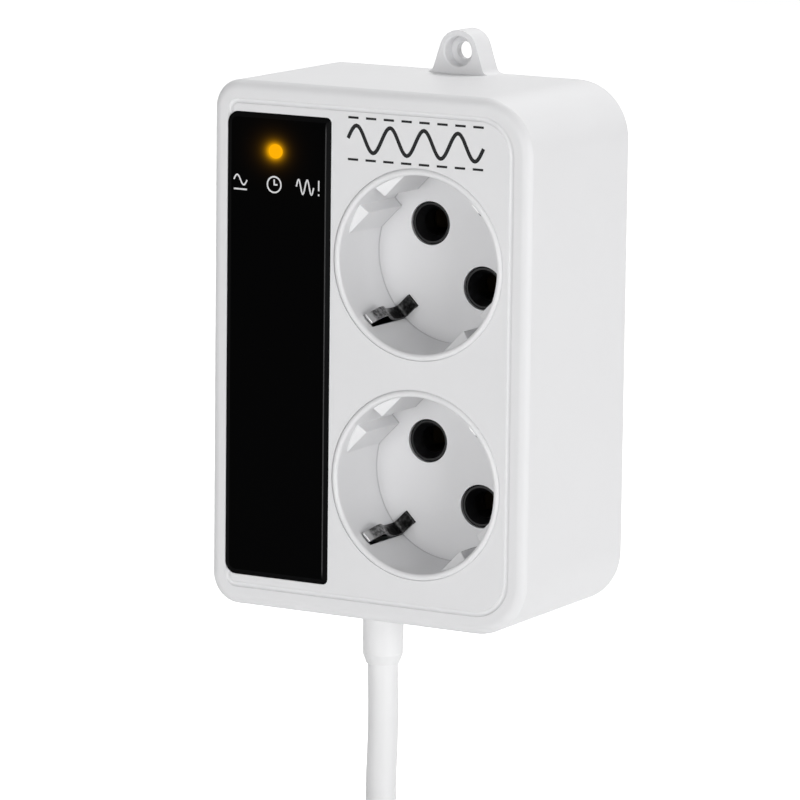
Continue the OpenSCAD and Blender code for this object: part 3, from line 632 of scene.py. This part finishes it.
def light_glow(tree):
    """Level of the whole glow, with 1 on the lens."""
    lens = add_step(tree, from_light(tree, LENS_SHIFT), LENS_R + LENS_EDGE, LENS_R - LENS_EDGE)
    close = halo(tree, CLOSE_SHIFT, strength=0.60, reach=0.58 * mm)
    wide = halo(tree, WIDE_SHIFT, strength=0.05, reach=1.6 * mm)
    return add_math(tree, "MAXIMUM", lens, add_math(tree, "ADD", close, wide))


print("light at", [round(v, 4) for v in LIGHT_CENTRE])

# %% [markdown]
# The sheet's bevelled rim gets a painted sheen that makes it slightly paler than its face, and the
# edge between the two gets a fine painted highlight on the right. The rim's mask comes from the
# direction of the surface, and the highlight's from its place.

# %% Smoked window
SHEET_BLACK = (0.0006, 0.0006, 0.0007, 1)
# painted sheen: the rim's black is paler than the sheet's own
RIM_SHEEN_BLACK = (0.006, 0.006, 0.0065, 1)
HIGHLIGHT_LINE_GREY = (0.06, 0.06, 0.061, 1)
RIM_W = 1.1 * mm
LINE_HALF_W = 0.12 * mm
LINE_SOFT = 0.08 * mm
FACE_LIMIT = -0.985
RIM_LIMIT = -0.90
sheet_low, sheet_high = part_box("display_window")


def between(tree, value, low, high, soft):
    """Mask of 1 where a value is between two others, with soft ends."""
    above = add_step(tree, value, low - soft, low + soft)
    below = add_step(tree, value, high + soft, high - soft)
    return add_math(tree, "MULTIPLY", above, below)


def painted_highlight_line(tree):
    """Mask of the fine painted highlight on the inner edge of the rim's right side."""
    edge_x = sheet_high.x - RIM_W
    low_end = sheet_low.z + 2 * RIM_W
    high_end = sheet_high.z - 2 * RIM_W
    x, z = (one_axis(tree, object_place(tree), axis) for axis in (0, 2))
    line = between(tree, x, edge_x - LINE_HALF_W, edge_x + LINE_HALF_W, LINE_SOFT)
    return add_math(tree, "MULTIPLY", line, between(tree, z, low_end, high_end, RIM_W))


def build_window():
    """Smoked sheet with the painted sheen of its rim, its painted highlight line and the glow."""
    tree, shader = new_material("window_black")
    skin = use_group(tree, moulded_grain, Roughness=0.09, Roughness_Spread=0.02, Grain_per_Metre=900.0)
    fill(tree, shader.inputs["Roughness"], skin.outputs["Roughness"])
    shader.inputs["Specular IOR Level"].default_value = 0.01
    # painted sheen on the bevelled rim
    on_rim = add_step(tree, facing_y(tree), FACE_LIMIT, RIM_LIMIT)
    colour = add_mix(tree, on_rim, SHEET_BLACK, RIM_SHEEN_BLACK)
    # painted highlight line on the rim's right edge
    colour = add_mix(tree, painted_highlight_line(tree), colour, HIGHLIGHT_LINE_GREY)
    fill(tree, shader.inputs["Base Color"], colour)
    glow = scaled_colour(tree, LIGHT_AMBER, light_glow(tree))
    fill(tree, shader.inputs["Emission Color"], glow)
    shader.inputs["Emission Strength"].default_value = 1.0


build_window()
print("window:", [round(v / mm, 1) for v in sheet_high - sheet_low], "mm")

# %% [markdown]
# Sheet-metal contacts are punched and bent, then plated. The face of the strip is dull nickel with
# worn patches. Its darkening with depth in the well is painted shade, and its bright front end and the
# brighter cut edge there are painted highlights. All of it comes from the place and the direction of
# the surface. The other metals have the drawn grain of rod or sheet, which is the moulded grain with
# other values.


# %% Metals
def metal(name, colour, roughness):
    """Plated or plain metal with a faint drawn grain. Returns the material's tree and shader."""
    tree, shader = new_material(name)
    skin = use_group(
        tree,
        moulded_grain,
        Colour=(*colour, 1),
        Colour_Spread=0.08,
        Roughness=roughness,
        Roughness_Spread=0.2,
        Grain_per_Metre=5000.0,
    )
    fill(tree, shader.inputs["Base Color"], skin.outputs["Colour"])
    fill(tree, shader.inputs["Roughness"], skin.outputs["Roughness"])
    add_bump(tree, shader, skin.outputs["Height"], 0.002 * mm)
    shader.inputs["Metallic"].default_value = 1.0
    return tree, shader


metal("contact_brass", (0.10, 0.07, 0.035), 0.5)
metal("screw_steel", (0.45, 0.45, 0.46), 0.3)
metal("pin_nickel", (0.55, 0.54, 0.52), 0.22)
print("materials so far:", len(bpy.data.materials))

# %% Nickel of the earth strips
NICKEL_DULL = (0.2, 0.2, 0.2)
# painted shade deep in the well, then painted highlights at the strip's front end and cut edge
NICKEL_PAINTED_SHADE = grey(0.04)
NICKEL_PAINTED_HIGHLIGHT = grey(0.6)
NICKEL_EDGE_HIGHLIGHT = grey(0.85)
PATCHES_PER_METRE = 1500.0
HIGHLIGHT_LENGTH = 0.9 * mm
FRONT_ZONE_DEPTH = 2 * mm
SHADE_FULL_DEPTH = 11 * mm


def build_clip_nickel():
    """Dull nickel with worn patches, painted shade deep in the well, and painted highlights at the front
    end and on its cut edge.
    """
    tree, shader = metal("clip_nickel", NICKEL_DULL, 0.3)
    front_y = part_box("earth_contact_upper")[0].y
    depth = add_math(tree, "SUBTRACT", one_axis(tree, object_place(tree), 1), front_y)
    # painted shade: darker with depth in the well
    shade_mask = add_step(tree, depth, FRONT_ZONE_DEPTH, SHADE_FULL_DEPTH)
    tone = add_mix(tree, shade_mask, (*NICKEL_DULL, 1), NICKEL_PAINTED_SHADE)
    patches = add_step(tree, add_noise(tree, PATCHES_PER_METRE, 4.0), 0.35, 0.75)
    wear = add_math(tree, "ADD", add_math(tree, "MULTIPLY", patches, 1.6), 0.5)
    tone = scaled_colour(tree, tone, wear)
    # painted highlight on the strip's front end
    highlight_mask = add_step(tree, depth, 2 * HIGHLIGHT_LENGTH, HIGHLIGHT_LENGTH)
    tone = add_mix(tree, highlight_mask, tone, NICKEL_PAINTED_HIGHLIGHT)
    # painted highlight on the cut edge at the front
    faces_front = add_step(tree, facing_y(tree), -0.6, -0.85)
    at_front = add_step(tree, depth, FRONT_ZONE_DEPTH, FRONT_ZONE_DEPTH / 2)
    edge_highlight_mask = add_math(tree, "MULTIPLY", faces_front, at_front)
    fill(tree, shader.inputs["Base Color"], add_mix(tree, edge_highlight_mask, tone, NICKEL_EDGE_HIGHLIGHT))


build_clip_nickel()
print("clip nickel darkens from", NICKEL_DULL[0], "to", NICKEL_PAINTED_SHADE[0])

# %% [markdown]
# The strap round the hank is woven tape. Its weave is two waves at right angles, which are used as
# height and for painted shade: the colour is darker in the gaps between the threads.

# %% Woven strap
THREADS_PER_METRE = 700.0
# painted shade in the gaps between the threads
GAP_SHADE_BLACK = (0.006, 0.006, 0.006, 1)
THREAD_BLACK = (0.035, 0.035, 0.036, 1)


def build_weave():
    """Height of a plain weave: 0 in the gaps and 1 on top of a thread."""
    group, source, sink = new_group(
        "weave",
        [("Threads per Metre", "NodeSocketFloat", THREADS_PER_METRE)],
        [("Height", "NodeSocketFloat")],
    )
    place = object_place(group)
    across = add_math(group, "ADD", one_axis(group, place, 0), one_axis(group, place, 1))
    heights = []
    for direction in (across, one_axis(group, place, 2)):
        angle = add_math(group, "MULTIPLY", direction, source.outputs["Threads per Metre"])
        angle = add_math(group, "MULTIPLY", angle, 2 * math.pi)
        heights.append(add_math(group, "ABSOLUTE", add_math(group, "SINE", angle)))
    fill(group, sink.inputs["Height"], add_math(group, "MULTIPLY", *heights))
    return group


def build_tie_black():
    """Black tape with its weave as height, and painted shade in the gaps between the threads."""
    tree, shader = new_material("tie_black")
    threads = use_group(tree, build_weave(), Threads_per_Metre=THREADS_PER_METRE)
    height = threads.outputs["Height"]
    # painted shade: darker where the weave is low
    fill(tree, shader.inputs["Base Color"], add_mix(tree, height, GAP_SHADE_BLACK, THREAD_BLACK))
    add_bump(tree, shader, height, 0.15 * mm)
    shader.inputs["Roughness"].default_value = 0.85


build_tie_black()
print("materials:", len(bpy.data.materials))

# %% [markdown]
# The CAD solids have sharp edges. A mould and a punch leave a small radius on every edge, and that
# radius is what catches the light. It could be drawn in CAD, at a great cost in faces. A bevel
# modifier is lighter, but it needs whole faces. So the pieces whose edges show are copied, the
# split corners of a copy are welded and its flat triangles are merged, and the copy then stands in
# for the node.

# %% Copies that stand in for nodes
finishes = {row["node"]: row["material_slot"] for row in frame["record"]["subparts"]}
SHARP = math.radians(30)
FLAT = math.radians(0.3)
WELD = 0.002 * mm
SLIVER = 0.005 * mm


def clean_skin(name):
    """Copy of a CAD node's skin, with whole flat faces."""
    skin = bmesh.new()
    skin.from_mesh(nodes[name].data)
    bmesh.ops.remove_doubles(skin, verts=skin.verts, dist=WELD)
    bmesh.ops.dissolve_degenerate(skin, edges=skin.edges, dist=SLIVER)
    bmesh.ops.dissolve_limit(skin, angle_limit=FLAT, verts=skin.verts, edges=skin.edges)
    return skin


def own_piece(name, mesh, slot):
    """New piece of the object, with its finish and its body."""
    piece = link(bpy.data.objects.new(name, mesh))
    mesh.materials.clear()
    mesh.materials.append(bpy.data.materials[slot])
    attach(piece, "root")
    return piece


def stand_in(node, skin):
    """Piece with that skin, in the place of the CAD node."""
    mesh = bpy.data.meshes.new(f"{node}_soft")
    skin.to_mesh(mesh)
    skin.free()
    if "custom_normal" in mesh.attributes:
        mesh.attributes.remove(mesh.attributes["custom_normal"])
    mesh.shade_smooth()
    mesh.set_sharp_from_angle(angle=SHARP)
    piece = own_piece(f"{node}_soft", mesh, finishes[node])
    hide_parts(node)
    return piece


# %% Rounded edges
STRIP_ROUND = 0.08 * mm


def even_normals(piece, keep_sharp):
    """Lets the large faces of a piece set its normals, so that they look flat up to the rounding."""
    normals = piece.modifiers.new("even_normals", "WEIGHTED_NORMAL")
    normals.keep_sharp = keep_sharp


def soften(piece, width):
    """Rounds all the sharp edges of a piece with a modifier."""
    bevel = piece.modifiers.new("rounded_edges", "BEVEL")
    bevel.width = width
    bevel.segments = 2
    bevel.limit_method = "ANGLE"
    bevel.angle_limit = SHARP
    bevel.use_clamp_overlap = False
    even_normals(piece, keep_sharp=False)


def is_sharp(edge):
    """Whether two faces meet at an edge with more than the angle of a smooth shape."""
    return len(edge.link_faces) == 2 and edge.calc_face_angle(0) > SHARP


def round_edges(skin, edges, width, segments):
    """Rounds only those edges of a skin, in the mesh itself."""
    bmesh.ops.bevel(
        skin,
        geom=edges,
        offset=width,
        offset_type="OFFSET",
        segments=segments,
        profile=0.5,
        affect="EDGES",
        clamp_overlap=True,
    )


for node in ("earth_contact_upper", "earth_contact_lower"):
    soften(stand_in(node, clean_skin(node)), STRIP_ROUND)
    print("softened", node)

# %% [markdown]
# A strap that is pulled tight follows the cord round the corners of the hank. So its four upright
# edges outside and its four inside are rounded, with the strap's thickness between the two radii.

# %% Strap with round corners
TIE_T = 1.2 * mm
HAIR = 0.01 * mm
tie_skin = clean_skin("hank_tie")
tie_low, tie_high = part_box("hank_tie")


def is_upright(edge):
    """Whether an edge runs along Z, within a hair."""
    a, b = (corner.co for corner in edge.verts)
    return math.hypot(a.x - b.x, a.y - b.y) < HAIR


def is_outside(edge):
    """Whether an edge lies on the outside of the strap."""
    x = edge.verts[0].co.x
    return min(x - tie_low.x, tie_high.x - x) < TIE_T / 2


uprights = [e for e in tie_skin.edges if is_upright(e) and is_sharp(e)]
outer = [e for e in uprights if is_outside(e)]
inner = [e for e in uprights if not is_outside(e)]
round_edges(tie_skin, outer, CORD_D / 2 + TIE_T, segments=8)
round_edges(tie_skin, inner, CORD_D / 2, segments=8)
tie_piece = stand_in("hank_tie", tie_skin)
even_normals(tie_piece, keep_sharp=True)
print("strap edges rounded:", len(outer), "+", len(inner))

# %% [markdown]
# In the wells, only the edges of the guide ribs are rounded. They are the sharp edges inside the
# well that don't lie in its floor. A round well needs no more: its bead is round already. The CAD
# leaves a tenth of a millimetre between that bead's ring and the cover. In front, where the gap
# would show as a dark line, the ring is moved out to the tight fit of a real one.

# %% Outlet wells with rounded ribs
RING_R = 21.1 * mm
RING_SEAT_R = 21.17 * mm
RING_SHOWS = 2 * mm
RIB_ROUND = 0.22 * mm


def rib_edges(skin, centre):
    """Sharp edges of a cup that are inside its well and off its floor."""
    inside = set()
    raised = set()
    for corner in skin.verts:
        if math.hypot(corner.co.x - centre.x, corner.co.z - centre.z) < WELL_R - 2 * HAIR:
            inside.add(corner)
        if corner.co.y < face_y + WELL_DEPTH - 2 * HAIR:
            raised.add(corner)
    return [e for e in skin.edges if is_sharp(e) and inside & set(e.verts) and raised & set(e.verts)]


def seat_ring(skin, centre):
    """Moves the front of a cup's ring out to a tight fit in the cover. Returns how many corners."""
    moved = 0
    for corner in skin.verts:
        from_centre = Vector((corner.co.x - centre.x, 0, corner.co.z - centre.z))
        if corner.co.y < face_y + RING_SHOWS and abs(from_centre.length - RING_R) < 2 * HAIR:
            corner.co += from_centre.normalized() * (RING_SEAT_R - RING_R)
            moved += 1
    return moved


for node in ("outlet_cup_upper", "outlet_cup_lower"):
    cup = clean_skin(node)
    moved = seat_ring(cup, middle(node))
    ribs = rib_edges(cup, middle(node))
    round_edges(cup, ribs, RIB_ROUND, segments=3)
    even_normals(stand_in(node, cup), keep_sharp=True)
    print(node, "edges rounded:", len(ribs), "ring corners moved:", moved)

# %% [markdown]
# The ear's front edge is rounded, and so is the mouth of the seat for the screw head. Both are
# found by their place: they lie in the plane of the ear's front. They are rounded in the mesh
# itself, because one modifier has one width, and the other edges of the housing stay as they are.

# %% Rear housing with a rounded ear
EAR_FRONT_Y = -3.2 * mm
SEAT_R = 3.35 * mm
SEAT_ROUND = 0.45 * mm
EAR_ROUND = 0.7 * mm
case_top_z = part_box("front_cover")[1].z
ear_skin = clean_skin("rear_housing")


def in_ear_front(edge):
    """Whether an edge bounds the ear's front face."""
    in_plane = all(abs(v.co.y - EAR_FRONT_Y) < HAIR for v in edge.verts)
    return in_plane and min(v.co.z for v in edge.verts) > case_top_z - HAIR


def is_in_seat(edge):
    """Whether an edge belongs to the seat round the hanging hole, which is on the Y axis."""
    between_ends = (edge.verts[0].co + edge.verts[1].co) / 2
    return math.hypot(between_ends.x, between_ends.z) < SEAT_R + HAIR


def is_clear_of_case(edge):
    """Whether both ends of an edge are above the top of the case."""
    return min(v.co.z for v in edge.verts) > case_top_z + HAIR


front_edges = [e for e in ear_skin.edges if in_ear_front(e) and is_sharp(e)]
seat_edges = [e for e in front_edges if is_in_seat(e)]
rim_edges = [e for e in front_edges if not is_in_seat(e) and is_clear_of_case(e)]
round_edges(ear_skin, seat_edges, SEAT_ROUND, segments=4)
round_edges(ear_skin, rim_edges, EAR_ROUND, segments=4)
even_normals(stand_in("rear_housing", ear_skin), keep_sharp=True)
print("ear edges rounded:", len(seat_edges), "+", len(rim_edges))

# %% [markdown]
# All the other pieces are shown as the CAD made them. Each gets the finish that the record names
# for it, and the cord gets its own.

# %% Finish of the nodes that are shown as they are
for node, slot in finishes.items():
    shown = nodes[node]
    shown.data.materials.clear()
    shown.data.materials.append(bpy.data.materials[slot])
cord_piece.data.materials.append(bpy.data.materials["cord_white"])
print("finishes in use:", len(set(finishes.values())))

# %% [markdown]
# The face carries a printed mark that says what the device does: a voltage wave between two limit
# lines. Printed ink is a thin raised film, so the marks are flat strips just in front of the
# surface. A strip follows a line of points with the width of a pen. A curve with a flat bevel would
# do too, but a mesh keeps clean corners.



# %% Strips of ink
def pen_strip(points, width, closed=False):
    """Corners and quads of a strip that follows points in the X-Z plane."""
    count = len(points)
    corners = []
    for i, here in enumerate(points):
        before = points[i - 1] if closed or i > 0 else here
        after = points[(i + 1) % count] if closed or i < count - 1 else here
        along_in = (here - before).normalized() if here != before else (after - here).normalized()
        along_out = (after - here).normalized() if here != after else along_in
        along = (along_in + along_out).normalized()
        side = Vector((along.y, -along.x)) * (width / 2 / max(along.dot(along_out), 0.5))
        corners += [here + side, here - side]
    last = count if closed else count - 1
    quads = []
    for i in range(last):
        after_i = (i + 1) % count
        quads.append((2 * i, 2 * i + 1, 2 * after_i + 1, 2 * after_i))
    return corners, quads


# %% Lines to draw
def circle(centre, radius, steps=24):
    """Points round a circle."""
    angles = [2 * math.pi * i / steps for i in range(steps)]
    return [centre + Vector((math.cos(a), math.sin(a))) * radius for a in angles]


def wave(start, width, height, periods, steps=24):
    """Points of a sine wave that goes right from its start."""
    count = periods * steps
    turn = 2 * math.pi / steps
    return [start + Vector((width * i / count, height * math.sin(turn * i))) for i in range(count + 1)]


# %% Print made of strips
def printed(name, strips, y, slot):
    """One thin print from several strips, facing forward."""
    vertices = []
    faces = []
    for corners, quads in strips:
        start = len(vertices)
        vertices += [(c.x, y, c.y) for c in corners]
        faces += [tuple(start + i for i in quad) for quad in quads]
    mesh = bpy.data.meshes.new(name)
    mesh.from_pydata(vertices, [], faces)
    skin = bmesh.new()
    skin.from_mesh(mesh)
    for face in skin.faces:
        face.normal_update()
        if face.normal.y > 0:
            face.normal_flip()
    skin.to_mesh(mesh)
    skin.free()
    own_piece(name, mesh, slot)


# %% Mark on the face
INK = 0.02 * mm
PRINT_LEFT = -5.4 * mm
PRINT_RIGHT = 28.4 * mm
PRINT_MIDDLE_Z = -16.0 * mm
PRINT_REACH = 4.6 * mm
WAVE_HEIGHT = 2.9 * mm
PEN = 0.85 * mm
DASH = 2.6 * mm
DASHES = 8

wave_start = Vector((PRINT_LEFT, PRINT_MIDDLE_Z))
marks = [pen_strip(wave(wave_start, PRINT_RIGHT - PRINT_LEFT, WAVE_HEIGHT, 4), PEN)]
dash_pitch = (PRINT_RIGHT - PRINT_LEFT - DASH) / (DASHES - 1)
for side in (-1, 1):
    for i in range(DASHES):
        start = Vector((PRINT_LEFT + i * dash_pitch, PRINT_MIDDLE_Z + side * PRINT_REACH))
        marks.append(pen_strip([start, start + Vector((DASH, 0))], 0.6 * PEN))
printed("face_print", marks, face_y - INK, "print_black")
print("marks:", len(marks))

# %% [markdown]
# Under the lights are three small signs: a calm wave over a level line for a good voltage, a clock
# for the waiting time, and a wild wave with an exclamation mark for a bad voltage. They are so small
# that their places are written in millimetres from the middle of each sign.

# %% Signs under the lights
SIGN_Z = -27.6 * mm
THIN_PEN = 0.36 * mm


def stroke(centre, *places):
    """Straight thin strokes through places in millimetres from a sign's centre."""
    return pen_strip([centre + Vector(place) * mm for place in places], THIN_PEN)


def small_wave(centre, left, up, width, height, periods):
    """Thin wave whose start and size are in millimetres."""
    start = centre + Vector((left, up)) * mm
    return pen_strip(wave(start, width * mm, height * mm, periods), THIN_PEN)


good, waiting, bad = (
    Vector((middle(light).x, SIGN_Z)) for light in ("led_normal", "led_delay", "led_fault")
)
signs = [
    small_wave(good, left=-1.7, up=0.5, width=3.4, height=1.1, periods=1),
    stroke(good, (-1.7, -1.6), (1.7, -1.6)),
    pen_strip(circle(waiting, 1.75 * mm), THIN_PEN, closed=True),
    stroke(waiting, (0, 1.15), (0, 0), (0.85, 0)),
    small_wave(bad, left=-3.0, up=0, width=4.4, height=1.6, periods=2),
    stroke(bad, (2.7, 1.7), (2.7, -0.6)),
    stroke(bad, (2.7, -1.3), (2.7, -1.7)),
]
printed("window_signs", signs, sheet_low.y - 0.5 * INK, "print_white")
print("signs:", len(signs))
